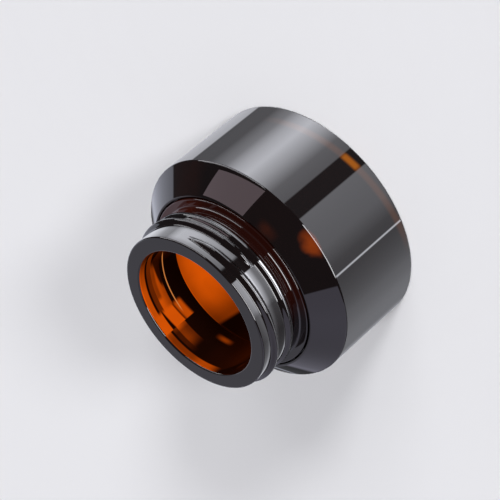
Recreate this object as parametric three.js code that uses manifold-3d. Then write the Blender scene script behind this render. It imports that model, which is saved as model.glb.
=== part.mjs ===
// Cosmetic cream jar: a double-walled jar with a lift-out threaded cup.
// Millimetres, +Z up, origin at the centre of the underside, standing on the plane z = 0.
import * as THREE from 'three';
import { mergeVertices } from 'three/addons/utils/BufferGeometryUtils.js';
import Module from 'manifold-3d';

// Outer shell
const bodyRadius = 32;
const cornerHeight = 26.2; // top of the straight wall
const shoulderRise = 6.4; // height of the conical shoulder
const shellWall = 2.2;
const shellEdge = 0.4; // bevel on the shell's outer edges
const seatThickness = 2.0;

// Base disc, glued into a socket in the shell's underside
const baseThickness = 3.0;
const baseRecess = 0.5; // the disc sits this far above the foot ring
const socketStep = 0.8; // how much wider the socket is than the hollow above it
const glueGap = 0.3;
const panelRadius = 22; // shallow round panel in the middle of the underside
const panelDepth = 0.4;

// Neck of the cup
const neckHeight = 13.6; // from the shoulder's top edge to the rim
const neckRadius = 22.3;
const neckWall = 4.1;
const rimEdge = 0.4;
const flangeDrop = 0.3; // the flange lies this far below the shoulder's top edge
const flangeThickness = 1.6;
const flangeReach = 2.2; // how far the flange stands out from the neck
const flangeGap = 0.3;
const rootFillet = 0.7;
const throatDrop = 0.1; // the neck's bore ends this far below the flange's top
const throatSlope = 1.5; // height over which the bore widens to the cavity

// Bead round the foot of the neck
const beadRise = 4.1; // above the flange's top
const beadHalfWidth = 1.5;
const beadReach = 0.8;

// Thread: one start, right-handed
const threadPitch = 4.23;
const threadTurns = 1.11;
const threadDrop = 2.9; // from the rim to the middle of the upper end
const threadRound = 1.2; // radius of the rounded ridge
const threadReach = 1.1;
const threadEndAngle = -50; // degrees from +X to the upper end
const threadRunOut = 22; // degrees over which each end fades

// Barrel of the cup
const barrelInset = 0.5; // the barrel is this much slimmer than the neck
const barrelWall = 1.5;
const cupFloor = 2.0;
const cupCorner = 5.0; // outer corner radius under the cup
const cupLift = 1.0; // between the cup and the base disc
const seatGap = 0.6; // between the barrel and the seat's edge

// Cup seal and turning stops
const sealThickness = 0.8;
const sealWidth = 0.8;
const touchGap = 0.3; // between pieces that rest on each other
const stopCount = 3;
const stopWidth = 4.0;
const stopReach = 0.9; // how far each rib stands out from the barrel
const stopSideGap = 0.4;

const roundSegments = 72;
const arcSteps = 5;
const threadSteps = 66;

// Sizes that follow from the ones above
const shoulderTopHeight = cornerHeight + shoulderRise;
const rimHeight = shoulderTopHeight + neckHeight;
const flangeRadius = neckRadius + flangeReach;
const shoulderTopRadius = flangeRadius + flangeGap;
const flangeTop = shoulderTopHeight - flangeDrop;
const flangeBottom = flangeTop - flangeThickness;
const seatHeight = flangeBottom - sealThickness - 2 * touchGap;
const ledgeHeight = seatHeight - seatThickness;
const barrelRadius = neckRadius - barrelInset;
const cavityRadius = barrelRadius - barrelWall;
const boreRadius = neckRadius - neckWall;
const seatInnerRadius = barrelRadius + seatGap;
const slotRadius = barrelRadius + stopReach + seatGap;
const sealInner = Math.hypot(slotRadius, stopWidth / 2 + stopSideGap) + touchGap / 2;
const socketRadius = bodyRadius - shellWall + socketStep;
const baseTop = baseRecess + baseThickness;
const cupBottom = baseTop + cupLift;
const throatHeight = flangeTop - throatDrop;
const beadHeight = flangeTop + beadRise;

// Points on a circular arc in the (radius, height) plane, both ends included, in degrees.
function arc(centreRadius, centreHeight, size, from, to) {
  const points = [];
  for (let i = 0; i <= arcSteps; i += 1) {
    const angle = THREE.MathUtils.degToRad(from + ((to - from) * i) / arcSteps);
    points.push([
      centreRadius + size * Math.cos(angle),
      centreHeight + size * Math.sin(angle),
    ]);
  }
  return points;
}

// A body turned from a profile of [radius, height] pairs that runs anticlockwise.
function turned(profile) {
  const startsOnAxis = profile[0][0] === 0;
  const loop = startsOnAxis ? profile : [...profile, profile[0]];
  const points = loop.map(([radius, height]) => new THREE.Vector2(radius, height));
  const geometry = new THREE.LatheGeometry(points, roundSegments);
  // The lathe turns about Y, so the axis is stood up along Z.
  geometry.rotateX(Math.PI / 2);
  return geometry;
}

const wasm = await Module();
wasm.setup();

// The triangles of an index that have three different corners.
function properTriangles(index) {
  const kept = [];
  for (let i = 0; i < index.length; i += 3) {
    const [a, b, c] = [index[i], index[i + 1], index[i + 2]];
    if (a !== b && b !== c && c !== a) {
      kept.push(a, b, c);
    }
  }
  return kept;
}

// The closed solid of a geometry, with its shared vertices merged.
function solid(geometry) {
  const plain = geometry.clone();
  plain.deleteAttribute('normal');
  plain.deleteAttribute('uv');
  const merged = mergeVertices(plain, 1e-5);
  const mesh = new wasm.Mesh({
    numProp: 3,
    vertProperties: new Float32Array(merged.attributes.position.array),
    triVerts: new Uint32Array(properTriangles(merged.index.array)),
  });
  return new wasm.Manifold(mesh);
}

// The geometry of a solid.
function geometryOf(body) {
  const mesh = body.getMesh();
  const geometry = new THREE.BufferGeometry();
  geometry.setAttribute('position', new THREE.BufferAttribute(mesh.vertProperties, 3));
  geometry.setIndex(new THREE.BufferAttribute(mesh.triVerts, 1));
  geometry.computeVertexNormals();
  return geometry;
}

// A block from one radius to another, standing at an angle round the axis.
function radialBlock(inner, outer, width, low, high, angle) {
  const block = new THREE.BoxGeometry(outer - inner, width, high - low);
  block.translate((inner + outer) / 2, 0, (low + high) / 2);
  block.rotateZ(angle);
  return block;
}

// The angles of the ribs that stop the cup turning, and of their slots.
function stopAngles() {
  const turn = (2 * Math.PI) / stopCount;
  return Array.from({ length: stopCount }, (_, i) => Math.PI / 2 + i * turn);
}

// Radius of the shoulder's inner face at a height, a wall's thickness inside the outer face.
function shoulderInner(height) {
  const run = bodyRadius - shoulderTopRadius;
  const offset = (shellWall * Math.hypot(run, shoulderRise)) / shoulderRise;
  return bodyRadius - offset - (run * (height - cornerHeight)) / shoulderRise;
}

// Height at which the shoulder's inner face meets the straight inner wall.
function innerCorner() {
  const run = bodyRadius - shoulderTopRadius;
  const short = bodyRadius - shellWall - shoulderInner(cornerHeight);
  return cornerHeight - (short * shoulderRise) / run;
}

function shellProfile() {
  const run = bodyRadius - shoulderTopRadius;
  const slant = Math.hypot(run, shoulderRise);
  const stepIn = (shellEdge * run) / slant;
  const stepUp = (shellEdge * shoulderRise) / slant;
  const innerRadius = bodyRadius - shellWall;
  return [
    [socketRadius, 0],
    [bodyRadius - shellEdge, 0],
    [bodyRadius, shellEdge],
    [bodyRadius, cornerHeight - shellEdge],
    [bodyRadius - stepIn, cornerHeight + stepUp],
    [shoulderTopRadius + stepIn / 2, shoulderTopHeight - stepUp / 2],
    [shoulderTopRadius, shoulderTopHeight - shellEdge / 2],
    [shoulderTopRadius, seatHeight],
    [seatInnerRadius, seatHeight],
    [seatInnerRadius, ledgeHeight],
    [shoulderInner(ledgeHeight), ledgeHeight],
    [innerRadius, innerCorner()],
    [innerRadius, baseTop + glueGap],
    [socketRadius, baseTop + glueGap],
  ];
}

// The shell, with a slot in its seat for each rib of the cup.
function makeOuterShell() {
  let body = solid(turned(shellProfile()));
  const width = stopWidth + 2 * stopSideGap;
  for (const angle of stopAngles()) {
    const low = ledgeHeight - 1;
    const high = seatHeight + 1;
    const slot = radialBlock(seatInnerRadius - 1, slotRadius, width, low, high, angle);
    body = body.subtract(solid(slot));
  }
  return geometryOf(body);
}

function makeBaseDisc() {
  const radius = socketRadius - glueGap;
  return turned([
    [0, baseRecess + panelDepth],
    [panelRadius, baseRecess + panelDepth],
    [panelRadius + panelDepth, baseRecess],
    [radius - glueGap, baseRecess],
    [radius, baseRecess + glueGap],
    [radius, baseTop],
    [0, baseTop],
  ]);
}

function makeCupSeal() {
  const low = seatHeight + touchGap;
  return turned([
    [sealInner, low],
    [sealInner + sealWidth, low],
    [sealInner + sealWidth, low + sealThickness],
    [sealInner, low + sealThickness],
  ]);
}

// The outside of the cup, from the middle of its floor up to the rim.
function cupOuter() {
  const lowCorner = cupBottom + cupCorner;
  return [
    [0, cupBottom],
    ...arc(barrelRadius - cupCorner, lowCorner, cupCorner, -90, 0),
    [barrelRadius, flangeBottom],
    [flangeRadius, flangeBottom],
    [flangeRadius, flangeTop - touchGap],
    [flangeRadius - touchGap, flangeTop],
    ...arc(neckRadius + rootFillet, flangeTop + rootFillet, rootFillet, 270, 180),
    [neckRadius, beadHeight - beadHalfWidth],
    [neckRadius + beadReach * 0.7, beadHeight - beadHalfWidth * 0.7],
    [neckRadius + beadReach, beadHeight],
    [neckRadius + beadReach * 0.7, beadHeight + beadHalfWidth * 0.7],
    [neckRadius, beadHeight + beadHalfWidth],
    [neckRadius, rimHeight - rimEdge],
    [neckRadius - rimEdge, rimHeight],
  ];
}

// The inside of the cup, from the rim down to the middle of its floor.
function cupInner() {
  const innerCornerRadius = cupCorner - barrelWall;
  const floorTop = cupBottom + cupFloor;
  const cornerCentre = cavityRadius - innerCornerRadius;
  return [
    [boreRadius + rimEdge, rimHeight],
    [boreRadius, rimHeight - rimEdge],
    [boreRadius, throatHeight],
    [cavityRadius, throatHeight - throatSlope],
    ...arc(cornerCentre, floorTop + innerCornerRadius, innerCornerRadius, 0, -90),
    [0, floorTop],
  ];
}

// The middle line of the thread's ridge, sinking into the neck at both ends.
class ThreadLine extends THREE.Curve {
  getPoint(t, target = new THREE.Vector3()) {
    const turned = 360 * threadTurns * t;
    const left = 360 * threadTurns - turned;
    const shown = Math.min(turned, left, threadRunOut) / threadRunOut;
    const sunk = (threadReach + touchGap) * (1 - Math.sin((shown * Math.PI) / 2));
    const radius = neckRadius + threadReach - threadRound - sunk;
    const angle = THREE.MathUtils.degToRad(threadEndAngle - turned);
    const height = rimHeight - threadDrop - (threadPitch * turned) / 360;
    return target.set(radius * Math.cos(angle), radius * Math.sin(angle), height);
  }
}

function makeThread() {
  const section = new THREE.Shape();
  section.absarc(0, 0, threadRound, 0, 2 * Math.PI, false);
  return new THREE.ExtrudeGeometry(section, {
    steps: threadSteps,
    curveSegments: 10,
    extrudePath: new ThreadLine(),
  });
}

// The cup: turned body, thread and the ribs that stop it turning in the seat.
function makeInnerCup() {
  let body = solid(turned([...cupOuter(), ...cupInner()]));
  body = body.add(solid(makeThread()));
  for (const angle of stopAngles()) {
    const inner = barrelRadius - barrelWall / 2;
    const outer = barrelRadius + stopReach;
    const high = flangeBottom + flangeThickness / 2;
    const rib = radialBlock(inner, outer, stopWidth, ledgeHeight, high, angle);
    body = body.add(solid(rib));
  }
  return geometryOf(body);
}

function piece(name, geometry, color, roughness) {
  const material = new THREE.MeshStandardMaterial({ color, roughness, metalness: 0 });
  const mesh = new THREE.Mesh(geometry, material);
  mesh.name = name;
  return mesh;
}

const jar = new THREE.Group();
jar.add(piece('outer_shell', makeOuterShell(), 0x1c1210, 0.05));
jar.add(piece('base_disc', makeBaseDisc(), 0x1c1210, 0.08));
jar.add(piece('cup_seal', makeCupSeal(), 0x2a0d05, 0.5));
jar.add(piece('inner_cup', makeInnerCup(), 0x3a1404, 0.05));

export default jar;
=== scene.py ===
"""Dark amber cream jar: a polished double-walled shell with a lift-out threaded cup."""
import math

import bpy
import numpy as np
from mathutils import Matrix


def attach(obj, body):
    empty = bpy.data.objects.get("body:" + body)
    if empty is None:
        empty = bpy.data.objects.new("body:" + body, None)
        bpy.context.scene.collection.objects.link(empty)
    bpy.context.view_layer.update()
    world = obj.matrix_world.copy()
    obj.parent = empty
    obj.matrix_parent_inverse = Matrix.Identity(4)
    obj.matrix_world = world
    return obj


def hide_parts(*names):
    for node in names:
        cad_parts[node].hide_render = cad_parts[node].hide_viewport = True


MM = 0.001
COLUMNS = 300

# The camera's place in metres, its turn in degrees, and its lens and sensor in millimetres.
CAMERA_PLACE = (0, -0.4669, 0.3218)
CAMERA_TURN = (-45.05, 40.05, -147.67)
CAMERA_LENS = 159.0
CAMERA_SENSOR = 36.0

# Sizes of the jar in millimetres, as in the CAD model.
BODY_RADIUS = 32.0
CORNER_HEIGHT = 26.2
SHOULDER_RISE = 6.4
SHELL_WALL = 2.2
SEAT_THICKNESS = 2.0
SOCKET_STEP = 0.8
BASE_THICKNESS = 3.0
BASE_RECESS = 0.5
GLUE_GAP = 0.3
PANEL_RADIUS = 22.0
PANEL_DEPTH = 0.4
NECK_HEIGHT = 13.6
NECK_RADIUS = 22.3
NECK_WALL = 4.1
RIM_EDGE = 0.4
FLANGE_DROP = 0.3
FLANGE_THICKNESS = 1.6
FLANGE_REACH = 2.2
FLANGE_GAP = 0.3
THROAT_DROP = 0.1
THROAT_SLOPE = 1.5
BEAD_RISE = 4.1
BEAD_HALF_WIDTH = 1.5
BEAD_FLAT = 0.3
BEAD_REACH = 0.8
THREAD_PITCH = 4.23
THREAD_TURNS = 1.11
THREAD_DROP = 2.9
THREAD_HALF_WIDTH = 1.35
THREAD_FLAT = 0.2
THREAD_REACH = 1.1
THREAD_END_ANGLE = -50.0
THREAD_RUN_OUT = 22.0
BARREL_INSET = 0.5
BARREL_WALL = 1.5
CUP_FLOOR = 2.0
CUP_CORNER = 5.0
CUP_LIFT = 1.0
SEAT_GAP = 0.6
SEAL_THICKNESS = 0.8
SEAL_WIDTH = 0.8
TOUCH_GAP = 0.3
STOP_COUNT = 3
STOP_WIDTH = 4.0
STOP_REACH = 0.9
STOP_SIDE_GAP = 0.4

SHOULDER_TOP = CORNER_HEIGHT + SHOULDER_RISE
RIM_HEIGHT = SHOULDER_TOP + NECK_HEIGHT
FLANGE_RADIUS = NECK_RADIUS + FLANGE_REACH
SHOULDER_TOP_RADIUS = FLANGE_RADIUS + FLANGE_GAP
FLANGE_TOP = SHOULDER_TOP - FLANGE_DROP
FLANGE_BOTTOM = FLANGE_TOP - FLANGE_THICKNESS
SEAT_HEIGHT = FLANGE_BOTTOM - SEAL_THICKNESS - 2 * TOUCH_GAP
LEDGE_HEIGHT = SEAT_HEIGHT - SEAT_THICKNESS
BARREL_RADIUS = NECK_RADIUS - BARREL_INSET
CAVITY_RADIUS = BARREL_RADIUS - BARREL_WALL
BORE_RADIUS = NECK_RADIUS - NECK_WALL
SEAT_INNER_RADIUS = BARREL_RADIUS + SEAT_GAP
SLOT_RADIUS = BARREL_RADIUS + STOP_REACH + SEAT_GAP
SEAL_INNER = math.hypot(SLOT_RADIUS, STOP_WIDTH / 2 + STOP_SIDE_GAP) + TOUCH_GAP / 2
SOCKET_RADIUS = BODY_RADIUS - SHELL_WALL + SOCKET_STEP
BASE_TOP = BASE_RECESS + BASE_THICKNESS
CUP_BOTTOM = BASE_TOP + CUP_LIFT
THROAT_HEIGHT = FLANGE_TOP - THROAT_DROP
BEAD_HEIGHT = FLANGE_TOP + BEAD_RISE

# Fillets of the edges, in millimetres.
FOOT_FILLET = 0.45
FOOT_INNER_FILLET = 0.2
CORNER_FILLET = 0.6
SHOULDER_FILLET = 0.4
SEAT_FILLET = 0.2
LEDGE_FILLET = 0.3
INNER_CORNER_FILLET = 0.8
SOCKET_FILLET = 0.1
DISC_FILLET = 0.3
FLANGE_FILLET = 0.3
FLANGE_ROOT_FILLET = 0.2
NECK_ROOT_FILLET = 0.5
THROAT_FILLET = 0.5
CAVITY_TOP_FILLET = 0.8

# Rounded corners of the profiles: the turn of one step in radians, the largest share of a
# side that an arc takes, and the short step beside an arc in millimetres.
ARC_STEP = 0.2
ARC_SHARE = 0.48
END_STEP = 0.05

# Longest steps along the straight stretches of the profiles, in millimetres. The neck,
# from a little above the flange to the rim's outer edge, has the finest rows.
SHELL_STEP = 0.8
DISC_STEP = 1.5
BARREL_STEP = 1.0
NECK_STEP = 0.1
CAVITY_STEP = 2.5
NECK_ROOT_RISE = 1.5
RIM_OUTER_WIDTH = 1.0

# How far below the rim the finish of the cup's inside starts, in millimetres.
INSIDE_DROP = 0.3

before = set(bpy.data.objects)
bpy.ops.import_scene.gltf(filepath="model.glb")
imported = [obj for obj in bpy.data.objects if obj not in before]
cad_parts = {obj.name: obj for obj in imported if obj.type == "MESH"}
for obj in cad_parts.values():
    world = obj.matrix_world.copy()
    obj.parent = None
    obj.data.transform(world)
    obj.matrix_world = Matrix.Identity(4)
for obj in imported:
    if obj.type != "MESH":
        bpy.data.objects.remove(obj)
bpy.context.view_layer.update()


# ---------------------------------------------------------------- turned surfaces

def rounded(corners, spacing):
    """Points along an open profile of (radius, height, fillet) corners.

    Each corner is replaced by an arc of its fillet radius that touches both sides. The
    straight stretches are divided so that no step is longer than the spacing, with a
    short step at each end, so that the smooth shading of an arc stops where the arc does.
    """
    points = []
    for i, (r, z, fillet) in enumerate(corners):
        here = np.array([r, z])
        if fillet <= 0 or i in (0, len(corners) - 1):
            points.append(here[None])
            continue
        before, after = np.array(corners[i - 1][:2]) - here, np.array(corners[i + 1][:2]) - here
        room = ARC_SHARE * min(np.linalg.norm(before), np.linalg.norm(after))
        before, after = before / np.linalg.norm(before), after / np.linalg.norm(after)
        half = math.acos(np.clip(before @ after, -1, 1)) / 2
        back = min(fillet / math.tan(half), room)
        size = back * math.tan(half)
        bisector = (before + after) / np.linalg.norm(before + after)
        middle = here + bisector * size / math.sin(half)
        first, last = here + before * back - middle, here + after * back - middle
        start = math.atan2(first[1], first[0])
        sweep = (math.atan2(last[1], last[0]) - start + math.pi) % (2 * math.pi) - math.pi
        turn = start + sweep * np.linspace(0, 1, max(5, int(abs(sweep) / ARC_STEP)) + 1)
        points.append(middle + size * np.stack([np.cos(turn), np.sin(turn)], 1))
    path = np.concatenate(points)
    stretches = []
    for a, b in zip(path[:-1], path[1:]):
        length = np.linalg.norm(b - a)
        short = END_STEP if length > 5 * END_STEP else 0.0
        steps = max(1, math.ceil((length - 2 * short) / spacing))
        along = np.linspace(short, length - short, steps + 1)
        along = np.concatenate([[0.0], along]) if short else along[:-1]
        stretches.append(a + (b - a) * (along / length)[:, None])
    return np.concatenate(stretches + [path[-1:]])


def turned(name, radius, height, closed, inside=None):
    """A surface of revolution whose radius may change with the turning angle.

    Row i and column j of the grid lie radius[i, j] from the axis at height[i], turned by
    j equal parts of a circle. The profile runs anticlockwise seen with the axis on the
    left. A closed profile joins its last row to its first; an open one starts and ends
    on the axis, where a row is one point. Rows marked inside take the second material.
    """
    rows, columns = radius.shape
    angle = np.arange(columns) * 2 * math.pi / columns
    level = np.repeat(height[:, None], columns, 1)
    grid = np.stack([radius * np.cos(angle), radius * np.sin(angle), level], -1)
    j = np.arange(columns)
    side = (j + 1) % columns
    inside = np.zeros(rows, int) if inside is None else inside.astype(int)
    if closed:
        points, low = grid.reshape(-1, 3), np.arange(rows)
        high, slots = (low + 1) % rows, inside
    else:
        ends = np.array([[0, 0, height[0]], [0, 0, height[-1]]])
        points = np.concatenate([grid[1:-1].reshape(-1, 3), ends])
        low = np.arange(rows - 3)
        high, slots = low + 1, inside[1:-2]
    a, b = low[:, None] * columns, high[:, None] * columns
    quads = np.stack([a + j, a + side, b + side, b + j], -1).reshape(-1, 4)
    faces, slots = quads.tolist(), np.repeat(slots, columns)
    if not closed:
        first, last = len(points) - 2, len(points) - 1
        top = (rows - 3) * columns
        faces += np.stack([np.full(columns, first), side, j], 1).tolist()
        faces += np.stack([top + j, top + side, np.full(columns, last)], 1).tolist()
        slots = np.concatenate([slots, np.full(columns, inside[0]), np.full(columns, inside[-1])])
    mesh = bpy.data.meshes.new(name)
    mesh.from_pydata((points * MM).tolist(), [], faces)
    mesh.polygons.foreach_set("material_index", slots.astype(np.int32))
    mesh.polygons.foreach_set("use_smooth", np.ones(len(mesh.polygons), bool))
    mesh.update()
    piece = bpy.data.objects.new(name, mesh)
    bpy.context.scene.collection.objects.link(piece)
    return piece


def steps_round(half_width):
    """How much of a stop each turning angle holds: 1 within the half width of one of the
    evenly spaced stops, measured in degrees, falling to 0 over one more degree."""
    degrees = np.arange(COLUMNS) * 360 / COLUMNS - 90
    pitch = 360 / STOP_COUNT
    off = np.abs((degrees + pitch / 2) % pitch - pitch / 2)
    return np.clip(half_width + 1 - off, 0, 1)


def ridge(offset, half_width, flat=0.0):
    """Height of a rounded ridge at an offset from its middle line: 1 over its flat middle,
    then half a cosine wave that reaches 0, level with the wall, at the half width."""
    u = np.clip((np.abs(offset) - flat) / (half_width - flat), 0, 1)
    return 0.5 + 0.5 * np.cos(math.pi * u)


def thread_height(degrees, height):
    """How far the thread stands out at a turning angle and height.

    The middle line falls by one pitch for each full turn clockwise from the upper end.
    Every winding that crosses the angle adds its ridge, and both ends fade in by a
    quarter sine wave over the run-out."""
    total = np.zeros(np.broadcast(degrees, height).shape)
    for winding in range(3):
        turned_by = (THREAD_END_ANGLE - degrees) % 360 + 360 * winding
        left = 360 * THREAD_TURNS - turned_by
        shown = np.clip(np.minimum(turned_by, left) / THREAD_RUN_OUT, 0, 1)
        middle = RIM_HEIGHT - THREAD_DROP - THREAD_PITCH * turned_by / 360
        fade = np.sin(shown * math.pi / 2)
        width = THREAD_HALF_WIDTH * (0.35 + 0.65 * fade)
        total = np.maximum(total, THREAD_REACH * fade * ridge(height - middle, width, THREAD_FLAT))
    return total


def make_shell():
    """The outer shell: straight wall, conical shoulder, sunk seat with slots, open below."""
    run = BODY_RADIUS - SHOULDER_TOP_RADIUS
    offset = SHELL_WALL * math.hypot(run, SHOULDER_RISE) / SHOULDER_RISE
    inner = BODY_RADIUS - SHELL_WALL
    corner = CORNER_HEIGHT + (SHELL_WALL - offset) * SHOULDER_RISE / run
    ledge_radius = BODY_RADIUS - offset - run * (LEDGE_HEIGHT - CORNER_HEIGHT) / SHOULDER_RISE
    path = rounded(
        [
            (SOCKET_RADIUS, BASE_RECESS, 0),
            (SOCKET_RADIUS, 0, FOOT_INNER_FILLET),
            (BODY_RADIUS, 0, FOOT_FILLET),
            (BODY_RADIUS, CORNER_HEIGHT, CORNER_FILLET),
            (SHOULDER_TOP_RADIUS, SHOULDER_TOP, SHOULDER_FILLET),
            (SHOULDER_TOP_RADIUS, SEAT_HEIGHT, SEAT_FILLET),
            (SEAT_INNER_RADIUS, SEAT_HEIGHT, SEAT_FILLET),
            (SEAT_INNER_RADIUS, LEDGE_HEIGHT, SEAT_FILLET),
            (ledge_radius, LEDGE_HEIGHT, LEDGE_FILLET),
            (inner, corner, INNER_CORNER_FILLET),
            (inner, BASE_TOP + GLUE_GAP, SOCKET_FILLET),
            (SOCKET_RADIUS, BASE_TOP + GLUE_GAP, SOCKET_FILLET),
            (SOCKET_RADIUS, BASE_RECESS, 0),
        ],
        SHELL_STEP,
    )[:-1]
    radius = np.repeat(path[:, :1], COLUMNS, 1)
    # The rows of the seat's inner edge, which the slots cut back.
    lip = (path[:, 0] < SEAT_INNER_RADIUS + 0.25) & (path[:, 1] > LEDGE_HEIGHT - 0.1)
    half = math.degrees((STOP_WIDTH / 2 + STOP_SIDE_GAP) / SEAT_INNER_RADIUS)
    radius = radius + lip[:, None] * (SLOT_RADIUS - SEAT_INNER_RADIUS) * steps_round(half)
    return turned("shell", radius, path[:, 1], closed=True)


def make_base():
    """The disc that closes the shell: a thick plate with a shallow round panel below."""
    edge = SOCKET_RADIUS - GLUE_GAP
    path = rounded(
        [
            (0, BASE_RECESS + PANEL_DEPTH, 0),
            (PANEL_RADIUS, BASE_RECESS + PANEL_DEPTH, DISC_FILLET),
            (PANEL_RADIUS + PANEL_DEPTH, BASE_RECESS, DISC_FILLET),
            (edge, BASE_RECESS, DISC_FILLET),
            (edge, BASE_TOP, DISC_FILLET),
            (0, BASE_TOP, 0),
        ],
        DISC_STEP,
    )
    radius = np.repeat(path[:, :1], COLUMNS // 2, 1)
    return turned("base", radius, path[:, 1], closed=False)


def make_seal():
    """The seal: a thin ring with a rounded section, between the flange and the seat."""
    turn = np.linspace(0, 2 * math.pi, 24, endpoint=False)
    half_width, half_height = SEAL_WIDTH / 2, SEAL_THICKNESS / 2
    # A squared circle: each coordinate is the cosine or sine to a power below one.
    power = 0.6
    across = np.sign(np.cos(turn)) * np.abs(np.cos(turn)) ** power
    up = np.sign(np.sin(turn)) * np.abs(np.sin(turn)) ** power
    path_radius = SEAL_INNER + half_width + half_width * across
    path_height = SEAT_HEIGHT + TOUCH_GAP + half_height + half_height * up
    radius = np.repeat(path_radius[:, None], COLUMNS // 2, 1)
    return turned("seal", radius, path_height, closed=True)


def make_cup():
    """The lift-out cup: barrel, ribs, flange, bead, threaded neck, bore and cavity."""
    outer = rounded(
        [
            (0, CUP_BOTTOM, 0),
            (BARREL_RADIUS, CUP_BOTTOM, CUP_CORNER),
            (BARREL_RADIUS, FLANGE_BOTTOM, FLANGE_ROOT_FILLET),
            (FLANGE_RADIUS, FLANGE_BOTTOM, FLANGE_FILLET),
            (FLANGE_RADIUS, FLANGE_TOP, FLANGE_FILLET),
            (NECK_RADIUS, FLANGE_TOP, NECK_ROOT_FILLET),
            (NECK_RADIUS, FLANGE_TOP + NECK_ROOT_RISE, 0),
        ],
        BARREL_STEP,
    )
    neck = rounded(
        [
            (NECK_RADIUS, FLANGE_TOP + NECK_ROOT_RISE, 0),
            (NECK_RADIUS, RIM_HEIGHT, RIM_EDGE),
            (NECK_RADIUS - RIM_OUTER_WIDTH, RIM_HEIGHT, 0),
        ],
        NECK_STEP,
    )
    inner = rounded(
        [
            (NECK_RADIUS - RIM_OUTER_WIDTH, RIM_HEIGHT, 0),
            (BORE_RADIUS, RIM_HEIGHT, RIM_EDGE),
            (BORE_RADIUS, THROAT_HEIGHT, THROAT_FILLET),
            (CAVITY_RADIUS, THROAT_HEIGHT - THROAT_SLOPE, CAVITY_TOP_FILLET),
            (CAVITY_RADIUS, CUP_BOTTOM + CUP_FLOOR, CUP_CORNER - BARREL_WALL),
            (0, CUP_BOTTOM + CUP_FLOOR, 0),
        ],
        CAVITY_STEP,
    )
    path = np.concatenate([outer[:-1], neck[:-1], inner])
    radius = np.repeat(path[:, :1], COLUMNS, 1)
    degrees = np.arange(COLUMNS)[None, :] * 360 / COLUMNS
    rows = slice(len(outer) - 1, len(outer) + len(neck) - 2)
    height = path[rows, 1][:, None]
    bead = BEAD_REACH * ridge(height - BEAD_HEIGHT, BEAD_HALF_WIDTH, BEAD_FLAT)
    on_wall = path[rows, 0][:, None] > NECK_RADIUS - 0.001
    radius[rows] += on_wall * np.maximum(bead, thread_height(degrees, height))
    # The rows of the barrel just below the flange, which stand out as ribs.
    low, high = LEDGE_HEIGHT, FLANGE_BOTTOM - 0.1
    barrel = (np.arange(len(path)) < len(outer)) & (path[:, 1] > low) & (path[:, 1] < high)
    half = math.degrees(STOP_WIDTH / 2 / BARREL_RADIUS)
    radius = radius + barrel[:, None] * STOP_REACH * steps_round(half)
    within = np.arange(len(path)) >= len(path) - len(inner)
    inside = within & (path[:, 1] < RIM_HEIGHT - INSIDE_DROP)
    return turned("cup", radius, path[:, 1], closed=False, inside=inside)


# ---------------------------------------------------------------- shader nodes

class Value:
    """A socket of a node tree. Arithmetic on it adds Math nodes."""

    def __init__(self, nodes, socket):
        self.nodes, self.socket = nodes, socket

    def math(self, operation, *others):
        return self.nodes.add("ShaderNodeMath", {"operation": operation}, [self, *others])[0]

    def __add__(self, other):
        return self.math("ADD", other)

    def __sub__(self, other):
        return self.math("SUBTRACT", other)

    def __rsub__(self, other):
        return self.nodes.add("ShaderNodeMath", {"operation": "SUBTRACT"}, [other, self])[0]

    def __mul__(self, other):
        return self.math("MULTIPLY", other)

    def __truediv__(self, other):
        return self.math("DIVIDE", other)

    __radd__, __rmul__ = __add__, __mul__

    def ease(self, start, end):
        """0 at start, 1 at end, with a smooth step between."""
        settings = {"interpolation_type": "SMOOTHSTEP", "data_type": "FLOAT"}
        inputs = {"Value": self, "From Min": start, "From Max": end, "To Min": 0.0, "To Max": 1.0}
        return self.nodes.add("ShaderNodeMapRange", settings, inputs)[0]

    def near(self, middle, half_width, softness):
        """1 within the half width of middle, falling to 0 over the softness on each side."""
        off = (self - middle).math("ABSOLUTE")
        return off.ease(half_width + softness, half_width)


class Nodes:
    """The node tree of a material or a world, emptied."""

    def __init__(self, owner):
        owner.use_nodes = True
        self.tree = owner.node_tree
        self.tree.nodes.clear()

    def add(self, kind, settings, inputs):
        """Adds a node: its settings first, then a value or link for each socket named or
        numbered in inputs. Returns its outputs."""
        node = self.tree.nodes.new(kind)
        for name, value in settings.items():
            if name == "stops":
                ramp = node.color_ramp
                while len(ramp.elements) < len(value):
                    ramp.elements.new(1.0)
                for element, (position, color) in zip(ramp.elements, value):
                    element.position, element.color = position, (*color, 1.0)
            else:
                setattr(node, name, value)
        pairs = inputs.items() if isinstance(inputs, dict) else enumerate(inputs)
        for name, value in pairs:
            if isinstance(value, Value):
                self.tree.links.new(value.socket, node.inputs[name])
            else:
                node.inputs[name].default_value = value
        return [Value(self, output) for output in node.outputs]

    def mix(self, factor, a, b):
        """Colour a where the factor is 0 and b where it is 1."""
        settings = {"data_type": "RGBA"}
        plain = {0: factor, 6: a, 7: b}
        return self.add("ShaderNodeMix", settings, plain)[2]

    def noise(self, where, scale, detail=2.0):
        inputs = {"Vector": where, "Scale": scale, "Detail": detail}
        return self.add("ShaderNodeTexNoise", {}, inputs)[0]


def rgba(red, green, blue):
    return (red, green, blue, 1.0)


BLACK = rgba(0, 0, 0)


# ---------------------------------------------------------------- finishes and painted glow

def jar_coordinates(nodes):
    """Object coordinates in millimetres: the point, its height, and its turning angle in
    degrees from the -Y side towards +X."""
    point = nodes.add("ShaderNodeTexCoord", {}, {})[3]
    x, y, z = nodes.add("ShaderNodeSeparateXYZ", {}, {"Vector": point})
    angle = nodes.add("ShaderNodeMath", {"operation": "ARCTAN2"}, [x, 0 - y])[0] * (180 / math.pi)
    return point, z * (1 / MM), angle


def handled(nodes, point, roughness):
    """Roughness of a polished surface that has been handled: faint soft smears."""
    smears = nodes.noise(point, 90.0, 3.0).ease(0.45, 0.75)
    return roughness + 0.006 * smears


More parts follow.
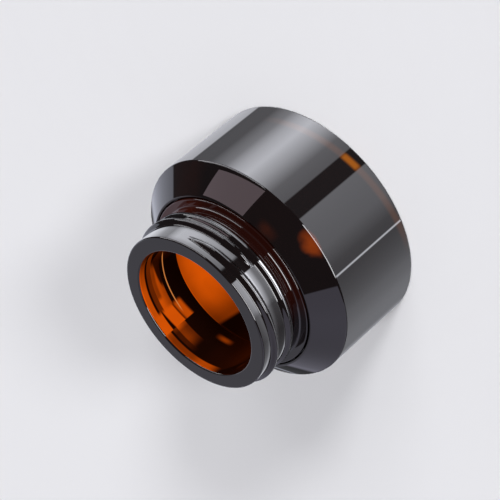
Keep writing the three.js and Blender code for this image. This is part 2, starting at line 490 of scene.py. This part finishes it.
def polished_amber(name, glow=None):
    """Deep amber seen from outside: nearly black, with a clear polished surface. An optional
    painted glow, given as emission, stands in for light that finds a thin way through."""
    material = bpy.data.materials.new(name)
    nodes = Nodes(material)
    point, height, angle = jar_coordinates(nodes)
    cloud = nodes.noise(point, 45.0)
    inputs = {
        "Base Color": nodes.mix(cloud, rgba(0.0016, 0.0008, 0.0009), rgba(0.0034, 0.0012, 0.0010)),
        "Roughness": handled(nodes, point, 0.006),
        "IOR": 1.5,
    }
    if glow:
        # Painted glow: emission that stands in for light coming through thin glass.
        inputs["Emission Color"] = glow(nodes, point, height, angle)
        inputs["Emission Strength"] = 1.0
    shader = nodes.add("ShaderNodeBsdfPrincipled", {}, inputs)[0]
    nodes.add("ShaderNodeOutputMaterial", {}, {"Surface": shader})
    return material


def shell_glow(nodes, point, height, angle):
    """Painted glow, given as emission: a thin amber line of painted light where the base disc
    meets the wall, and faint orange patches of painted light on the shoulder, standing in for
    light that comes through the cup."""
    cloud = nodes.noise(point, 260.0).ease(0.3, 0.7)
    # Painted glow: a thin line of painted light along the joint of the base disc and the wall.
    glow_at_joint = (height - 0.05 * angle).near(BASE_TOP - 0.55, 0.3, 1.25)
    line = glow_at_joint * (0.85 * angle.near(6.5, 3.0, 2.6) + 0.13 * angle.near(4, 30, 22))
    # Painted glow: faint orange patches of painted light on the shoulder and its side.
    across, up = (angle + 10.5) * (1 / 8.5), (height - CORNER_HEIGHT - 0.8) * (1 / 2.0)
    low = (across * across + up * up + 0.5 * (cloud - 0.5)).ease(0.95, -0.35)
    high = height.near(SHOULDER_TOP - 1.4, 0.1, 1.4) * angle.near(8.5, 1, 7)
    side = 0.012 * height.near(CORNER_HEIGHT + 3, 2.5, 1.0) * angle.near(68, 6, 9)
    patches = (0.6 + 0.4 * cloud) * (0.75 * low + 0.06 * high + side)
    colour = nodes.mix(line, BLACK, rgba(0.33, 0.088, 0.001))
    return nodes.mix(patches, colour, rgba(0.42, 0.06, 0.0))


def neck_glow(nodes, point, height, angle):
    """Painted glow, given as emission: dark red painted light in the thin root of the neck
    under the bead, redder on the +X side.
    """
    root = height.near(FLANGE_TOP + 1.3, 1.5, 0.5)
    root = root * (0.027 + 0.03 * angle.ease(50, 66)) * (1 - angle.ease(-30, -55))
    return nodes.mix(root, BLACK, rgba(0.42, 0.055, 0.018))


def bore_light(depth, around):
    """Painted light and shade in the bore at a depth below the rim and a turning angle, and
    its painted pale highlight line.

    Going down from the rim: a bright band, a dark line and a brown band at the thread, a
    bright band with a dark wedge on its left, the dark line and thin pale line of the
    bead, and the dark band of the thick foot with one dim spot. A bright upright patch
    crosses the bands, and past its right edge they are dimmer."""
    right = 1 - 0.65 * around.ease(179, 184)
    top = 0.6 * depth.near(1.25, 0.75, 0.3) + 0.3 * depth.near(0.5, 0.1, 0.15)
    top = top * around.ease(92, 148) * around.ease(236, 222) * (1 - 0.3 * around.ease(179, 181))
    top = top * (1 - 0.5 * around.near(196, 9, 12))
    brown = 0.13 * right * depth.near(3.62, 0.62, 0.3) * around.near(150, 44, 12)
    wedge = (depth - 5.4 - 0.064 * (around - 120)).ease(-0.3, 0.3) * around.ease(149, 140)
    middle = depth.near(5.9, 1.45, 0.25) * (0.62 - 0.3 * depth.ease(4.6, 7.4))
    middle = middle * right * around.near(158, 33, 12) * (1 - 0.95 * wedge)
    middle = middle * (1 - 0.6 * depth.ease(6.0, 5.2) * around.ease(155, 150))
    # Painted highlight: the thin pale line of light at the bead.
    pale = 1.2 * depth.near(8.8, 0.05, 0.18) * around.near(142, 24, 8)
    upright = around.ease(160, 165) * around.ease(179.4, 178.6)
    lean = depth - 0.045 * (around - 163)
    patch = depth.near(1.8, 1.2, 0.3) + lean.near(5.4, 1.5, 0.5) + 0.75 * lean.near(8.9, 0.7, 1.1)
    spot = 0.24 * depth.near(11.0, 0.1, 1.1) * around.near(214, 0.5, 9)
    # Painted shade: below this depth the dark band of the thick foot.
    foot = depth.ease(14.2, 13.6)
    bands = (top + brown + middle) * (1 - upright) + 0.74 * upright * patch
    return foot * (bands + spot), foot * pale


def cavity_light(nodes, point, height, around, cloud):
    """Painted light in the cavity: on the wall it brightens downwards and ends round the axis at
    a slightly slanting edge; on the floor it fades towards the front."""
    reach = THROAT_HEIGHT - height
    lit = (around - 0.4 * reach).ease(199, 195) * (1 - 0.65 * around.ease(173, 197))
    lit = lit * around.ease(80, 110)
    back = nodes.add("ShaderNodeSeparateXYZ", {}, {"Vector": point})[1] * (1 / MM)
    floor = height.ease(CUP_BOTTOM + CUP_FLOOR + 4, CUP_BOTTOM + CUP_FLOOR + 0.5)
    lit = lit + floor * (back.ease(-16, 18) * 0.8 - lit)
    return lit * (0.53 + 0.14 * cloud) * reach.ease(-0.05, 0.35) * (0.55 + 0.45 * reach.ease(0, 6))


def backlit_amber():
    """The inside of the cup, with painted light, given as emission, standing in for light that
    comes through a single wall.
    """
    material = bpy.data.materials.new("backlit amber")
    nodes = Nodes(material)
    point, height, angle = jar_coordinates(nodes)
    around = (angle - 155).math("WRAP", 180.0, -180.0) + 155
    cloud = nodes.noise(point, 120.0).ease(0.25, 0.75)
    depth = RIM_HEIGHT - height + 0.4 * (nodes.noise(point, 60.0) - 0.5)
    bands, pale = bore_light(depth, around)
    cavity = cavity_light(nodes, point, height, around, cloud)
    # Painted light: the bore's bands and the cavity's glow, given as emission.
    shine = nodes.mix(bands * (0.8 + 0.2 * cloud) + cavity + 0.003, BLACK, rgba(1.0, 0.13, 0.002))
    shader = nodes.add(
        "ShaderNodeBsdfPrincipled",
        {},
        {
            "Base Color": rgba(0.003, 0.0008, 0.0004),
            "Roughness": handled(nodes, point, 0.03),
            "IOR": 1.12,
            "Emission Color": nodes.mix(pale, shine, rgba(0.6, 0.2, 0.05)),
            "Emission Strength": 1.0,
        },
    )[0]
    nodes.add("ShaderNodeOutputMaterial", {}, {"Surface": shader})
    return material


def soft_rubber():
    """Dark brown silicone with a fine satin grain."""
    material = bpy.data.materials.new("seal silicone")
    nodes = Nodes(material)
    point = nodes.add("ShaderNodeTexCoord", {}, {})[3]
    grain = nodes.noise(point, 4000.0, 3.0)
    colour = nodes.mix(grain, rgba(0.03, 0.01, 0.005), rgba(0.05, 0.018, 0.009))
    relief = {"Height": grain, "Strength": 0.15, "Distance": 0.0001}
    bump = nodes.add("ShaderNodeBump", {}, relief)[0]
    shader = nodes.add(
        "ShaderNodeBsdfPrincipled",
        {},
        {"Base Color": colour, "Roughness": 0.45 + 0.1 * grain, "Normal": bump},
    )[0]
    nodes.add("ShaderNodeOutputMaterial", {}, {"Surface": shader})
    return material


# ---------------------------------------------------------------- studio

# Colours of the room that matt surfaces see and of the backdrop that the camera sees, and
# the tint of the mirrored rings.
ROOM = rgba(0.19, 0.188, 0.2)
BACKDROP = rgba(0.79, 0.785, 0.82)
RING_TINT = (0.96, 0.975, 1.055)

# The edge between the rings: how far below the horizon it is in front, and how far it
# climbs towards the back, in degrees.
EDGE_DROP = 33.5
EDGE_CLIMB = 1.5

# Brightness of the studio all round, at azimuths from the -Y side towards +X, in degrees:
# first in the low ring that the straight wall mirrors, then in the ring just above it,
# which the neck mirrors.
LOW_RING = [
    (-180, 0.45), (-165, 0.5), (-150, 0.42), (-120, 1.03), (-100, 1.25), (-66, 0.94),
    (-60.4, 0.9), (-60.2, 10.0), (-58.9, 10.0), (-58.7, 0.92), (-48, 1.08), (-30, 2.2),
    (-10, 2.55), (2.9, 2.75), (3.1, 0.21), (23.6, 0.21), (23.8, 1.95), (38, 2.3), (54, 6.2),
    (68, 8.7), (80, 5.9), (92, 2.4), (110, 0.7), (134.6, 0.33), (135.2, 1.75), (142, 1.5),
    (155, 1.05), (180, 0.45),
]
HIGH_RING = [
    (-180, 0.6), (-150, 0.7), (-95, 0.9), (-66, 2.2), (-56, 2.8), (-48, 6.5), (-28, 9.5),
    (-2.2, 10.0), (-2.0, 0.15), (18, 0.15), (22, 4.5), (50, 7.0), (80, 7.8), (100, 6.0),
    (114, 2.1), (126, 1.9), (136, 2.3), (150, 2.0), (165, 1.0), (180, 0.6),
]

# Cards above the rings: middle, half width and edge softness in azimuth, low and high
# elevation and their softness, and colour.
CARDS = [
    (-129, 51, 0.8, -8, 80, 3, (0.92, 0.9, 1.13)),
    (-150, 30, 20, -8, 60, 3, (0.5, 0.49, 0.6)),
    (165, 27, 0.8, -20, 40, 4, (1.0, 1.03, 1.2)),
    (180, 26, 4, 20, 46, 4, (0.55, 0.55, 0.64)),
    (-28, 26, 1, -11, 24, 3, (15.0, 15.0, 15.5)),
    (76, 34, 1, -6, 7, 1, (9.0, 9.0, 9.4)),
    (76, 34, 1, 19, 26, 1, (6.0, 6.0, 6.3)),
]

# How far the window card lies from the shoulder along each mirrored line of sight, in
# millimetres.
WINDOW_DISTANCE = 130.0

# Soft lights for the room and the floor, not mirrored: azimuth, elevation and spread in
# degrees, and strength.
SUNS = {
    "key": (17, 17, 11, 2.42),
    "side": (36, 24, 20, 0.68),
    "fill": (-8.5, 18, 9, 2.08),
    "overhead": (0, 80, 10, 0.94),
}


def ring(nodes, azimuth, stops):
    """Brightness round a ring: straight lines between the stops, which the ramp holds as
    parts of a top level."""
    top = 12.0
    place = (azimuth + 180) / 360
    plain = [((turn + 180) / 360, (level / top,) * 3) for turn, level in stops]
    ramp = nodes.add("ShaderNodeValToRGB", {"stops": plain}, {"Fac": place})[0]
    return ramp.math("MULTIPLY", top)


def studio_world():
    """A pale studio. The camera and the matt floor see an even pale room; polished
    surfaces mirror two rings of soft light low down and a few cards above them.

    The edge between the rings climbs from the front to the back as one minus the cosine
    of half the azimuth. Just above it is a dark gap, which the root of the neck mirrors.
    The high ring comes next, dimmer where the wall over the bead mirrors it, and on the
    left brighter for the bead and the crest of the thread."""
    world = bpy.data.worlds.new("studio")
    bpy.context.scene.world = world
    nodes = Nodes(world)
    way = nodes.add("ShaderNodeTexCoord", {}, {})[0]
    x, y, z = nodes.add("ShaderNodeSeparateXYZ", {}, {"Vector": way})
    turn = nodes.add("ShaderNodeMath", {"operation": "ARCTAN2"}, [x, 0 - y])[0]
    azimuth, elevation = turn * (180 / math.pi), z.math("ARCSINE") * (180 / math.pi)
    climb = elevation + EDGE_DROP - EDGE_CLIMB * (1 - (turn * 0.5).math("COSINE"))
    low = ring(nodes, azimuth, LOW_RING) * climb.ease(-30, -18)
    low = low + 0.5 * climb.ease(-18, -30)
    left = azimuth.ease(5, -5)
    bead, over_bead, crest = (
        climb.near(*band) for band in ((0.78, 0.04, 0.06), (0.98, 0.06, 0.16), (1.32, 0.06, 0.08))
    )
    high = ring(nodes, azimuth, HIGH_RING) * climb.ease(0.715, 0.74)
    high = high * (1 + left * (3.2 * bead + crest)) * (1 - 0.65 * over_bead)
    high = high * (1 - 0.3 * climb.ease(1.45, 1.6))
    light = low + climb.ease(-0.12, 0.12) * (high - low)
    light = light + climb.ease(2.2, 5.5) * (0.1 - light) + 0.04 * climb.near(0.35, 0.3, 0.2)
    glossy = nodes.add("ShaderNodeCombineXYZ", {}, [light * tint for tint in RING_TINT])[0]
    for middle, half, soft, bottom, top, blur, colour in CARDS:
        across = (azimuth - middle).math("WRAP", 180.0, -180.0).math("ABSOLUTE")
        mask = across.ease(half + soft, half - soft) * elevation.ease(bottom - blur, bottom + blur)
        mask = mask * elevation.ease(top + blur, top - blur)
        glossy = nodes.mix(mask, glossy, rgba(*colour))
    mirrored, room, backdrop = (
        nodes.add("ShaderNodeBackground", {}, {"Color": colour, "Strength": 1.0})[0]
        for colour in (glossy, ROOM, BACKDROP)
    )
    path = nodes.add("ShaderNodeLightPath", {}, {})
    shader = nodes.add("ShaderNodeMixShader", {}, {0: path[3], 1: room, 2: mirrored})[0]
    shader = nodes.add("ShaderNodeMixShader", {}, {0: path[0], 1: shader, 2: backdrop})[0]
    nodes.add("ShaderNodeOutputWorld", {}, {"Surface": shader})


def pale_floor():
    """A wide pale floor, seen by the camera and lit by the studio but not mirrored."""
    mesh = bpy.data.meshes.new("floor")
    size = 6.0
    mesh.from_pydata(
        [(-size, -size, 0), (size, -size, 0), (size, size, 0), (-size, size, 0)], [], [(0, 1, 2, 3)]
    )
    floor = bpy.data.objects.new("floor", mesh)
    bpy.context.scene.collection.objects.link(floor)
    floor.visible_glossy = False
    floor.visible_transmission = False
    material = bpy.data.materials.new("pale paper")
    nodes = Nodes(material)
    point = nodes.add("ShaderNodeTexCoord", {}, {})[3]
    tone = nodes.noise(point, 2.0)
    colour = nodes.mix(tone, rgba(0.79, 0.79, 0.815), rgba(0.81, 0.81, 0.835))
    shader = nodes.add("ShaderNodeBsdfDiffuse", {}, {"Color": colour})[0]
    nodes.add("ShaderNodeOutputMaterial", {}, {"Surface": shader})
    mesh.materials.append(material)


def window_card():
    """A lit card beside the jar, bent so that the cone of the shoulder mirrors it to the
    camera as a plain four-sided window.

    For each point of that window, given by turning angle in degrees and part of the way
    down the slope, the card has the point that lies a fixed distance along the mirrored
    line of sight."""
    across, down = np.meshgrid(np.linspace(0, 1, 13), np.linspace(0, 1, 7))
    left, right = 24 - 3 * down, 53 - 6 * down
    turn = np.radians(left + (right - left) * across)
    slope = down * (0.95 - 0.08 * across) + (1 - down) * (0.08 + 0.06 * across)
    run = BODY_RADIUS - SHOULDER_TOP_RADIUS
    length = math.hypot(run, SHOULDER_RISE)
    radius = SHOULDER_TOP_RADIUS + run * slope
    point = np.stack(
        [radius * np.sin(turn), -radius * np.cos(turn), SHOULDER_TOP - SHOULDER_RISE * slope], -1
    )
    outward = np.stack([np.sin(turn), -np.cos(turn), np.full(turn.shape, run / SHOULDER_RISE)], -1)
    outward *= SHOULDER_RISE / length
    sight = np.array(CAMERA_PLACE) / MM - point
    sight /= np.linalg.norm(sight, axis=-1, keepdims=True)
    mirrored = 2 * (sight * outward).sum(-1, keepdims=True) * outward - sight
    places = (point + WINDOW_DISTANCE * mirrored) * MM
    rows, columns = turn.shape
    corner = (np.arange(rows - 1)[:, None] * columns + np.arange(columns - 1)).reshape(-1, 1)
    mesh = bpy.data.meshes.new("window card")
    faces = (corner + np.array([0, 1, columns + 1, columns])).tolist()
    mesh.from_pydata(places.reshape(-1, 3).tolist(), [], faces)
    card = bpy.data.objects.new("window_card", mesh)
    bpy.context.scene.collection.objects.link(card)
    card.visible_camera = card.visible_diffuse = card.visible_shadow = False
    material = bpy.data.materials.new("window light")
    nodes = Nodes(material)
    light = {"Color": rgba(1.0, 0.79, 0.87), "Strength": 1.85}
    shader = nodes.add("ShaderNodeEmission", {}, light)[0]
    nodes.add("ShaderNodeOutputMaterial", {}, {"Surface": shader})
    mesh.materials.append(material)


def soft_sun(name, azimuth, elevation, spread, strength):
    """A broad even light from an azimuth and elevation, with soft shadows."""
    light = bpy.data.lights.new(name, "SUN")
    light.angle = math.radians(spread)
    light.energy = strength
    lamp = bpy.data.objects.new(name, light)
    bpy.context.scene.collection.objects.link(lamp)
    lamp.rotation_euler = (math.radians(90 - elevation), 0, math.radians(azimuth))
    lamp.visible_glossy = False


def camera():
    """A long lens above the jar, rolled so that the mouth faces the lower left."""
    data = bpy.data.cameras.new("camera")
    data.lens, data.sensor_width = CAMERA_LENS, CAMERA_SENSOR
    data.clip_start, data.clip_end = 0.01, 20.0
    eye = bpy.data.objects.new("camera", data)
    bpy.context.scene.collection.objects.link(eye)
    eye.location = CAMERA_PLACE
    eye.rotation_euler = [math.radians(turn) for turn in CAMERA_TURN]
    bpy.context.scene.camera = eye


def dress(piece, node, slot, *materials):
    """Gives a piece its finishes and puts it in place of its CAD node."""
    for material in materials:
        piece.data.materials.append(material)
    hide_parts(node)


shell, base, seal, cup = make_shell(), make_base(), make_seal(), make_cup()
dress(shell, "outer_shell", "shell_amber", polished_amber("shell amber", shell_glow))
dress(base, "base_disc", "base_amber", polished_amber("base amber"))
dress(seal, "cup_seal", "seal_rubber", soft_rubber())
dress(cup, "inner_cup", "cup_amber", polished_amber("cup amber", neck_glow), backlit_amber())
for piece in (shell, base, seal):
    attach(piece, "shell")
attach(cup, "cup")

bpy.context.scene.view_settings.view_transform = "Standard"
studio_world()
pale_floor()
window_card()
for name, (azimuth, elevation, spread, strength) in SUNS.items():
    soft_sun(name, azimuth, elevation, spread, strength)
camera()
